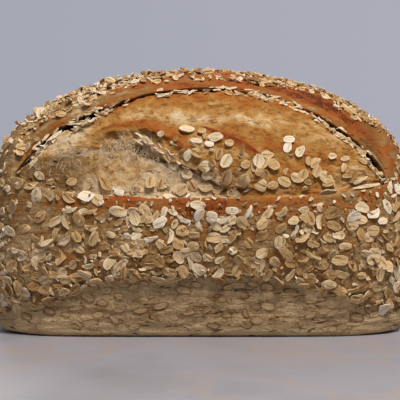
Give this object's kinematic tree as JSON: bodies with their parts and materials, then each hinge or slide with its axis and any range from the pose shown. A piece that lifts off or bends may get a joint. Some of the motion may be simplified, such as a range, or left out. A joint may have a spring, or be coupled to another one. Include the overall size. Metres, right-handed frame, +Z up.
{
  "type": "sourdough loaf",
  "caption": "Long tin-shaped loaf with a domed top, torn open along a front score under a thin ear, rolled in oat flakes.",
  "frame": {"origin": "centre of the flat base the loaf rests on", "axes": "+X along the loaf, to the right seen from the torn side; -Y towards the torn front; +Z up"},
  "size_m": [0.226, 0.1229, 0.1398],
  "materials": {
    "crust": "matte",
    "crumb": "matte",
    "oat_flakes": "matte"
  },
  "bodies": {
    "root": {"loaf": "crust"}
  },
  "joints": []
}
